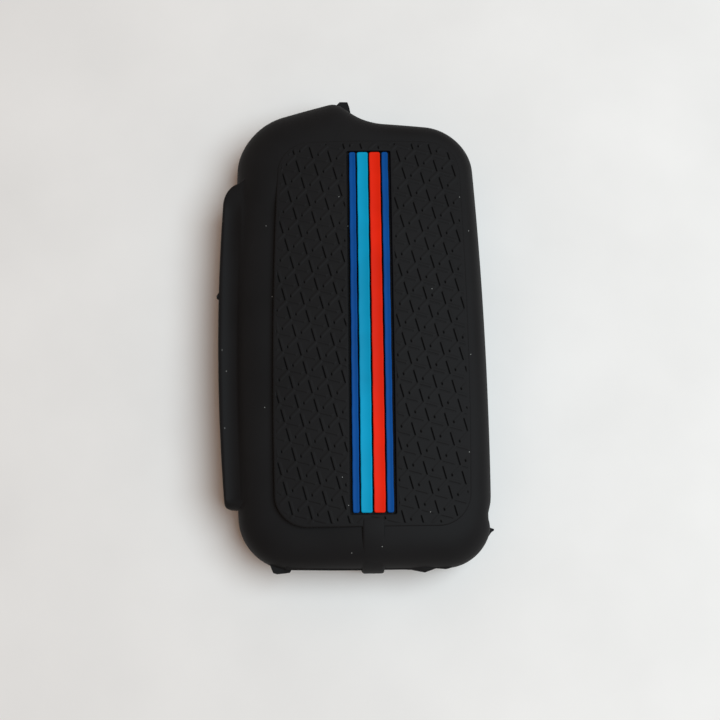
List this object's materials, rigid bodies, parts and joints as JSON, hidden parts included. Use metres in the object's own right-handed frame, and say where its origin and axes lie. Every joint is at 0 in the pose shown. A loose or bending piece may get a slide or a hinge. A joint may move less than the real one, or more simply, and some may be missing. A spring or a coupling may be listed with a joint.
{
  "type": "key fob cover",
  "caption": "Moulded silicone skin for a folding car key, with a textured grip pad, coloured inlay bars, a blade slot with a lip, and button caps that press in.",
  "frame": {"origin": "under the middle of the part, on the surface that its rim rests on", "axes": "+X across the skin, away from the blade slot; +Y towards the head end, where the blade swings out; +Z out of the textured back"},
  "size_m": [0.0447, 0.0806, 0.0165],
  "materials": {
    "black_silicone": "matte moulded silicone",
    "navy_inlay": "satin moulded inlay",
    "sky_inlay": "satin moulded inlay",
    "red_inlay": "satin moulded inlay"
  },
  "bodies": {
    "skin": {"skin": "black_silicone", "inlay_navy_left": "navy_inlay", "inlay_sky": "sky_inlay", "inlay_red": "red_inlay", "inlay_navy_right": "navy_inlay", "lock_web": "black_silicone", "unlock_web": "black_silicone", "boot_web": "black_silicone"},
    "lock_button": {"lock_button": "black_silicone"},
    "unlock_button": {"unlock_button": "black_silicone"},
    "boot_button": {"boot_button": "black_silicone"}
  },
  "joints": [
    {"name": "lock_press", "type": "slide", "parent": "skin", "child": "lock_button", "axis": [0, 0, 1], "range_m": [0, 0.0007], "stiffness_N_per_m": 1500, "deforming": ["lock_web"]},
    {"name": "unlock_press", "type": "slide", "parent": "skin", "child": "unlock_button", "axis": [0, 0, 1], "range_m": [0, 0.0007], "stiffness_N_per_m": 1500, "deforming": ["unlock_web"]},
    {"name": "boot_press", "type": "slide", "parent": "skin", "child": "boot_button", "axis": [0, 0, 1], "range_m": [0, 0.0007], "stiffness_N_per_m": 1500, "deforming": ["boot_web"]}
  ]
}
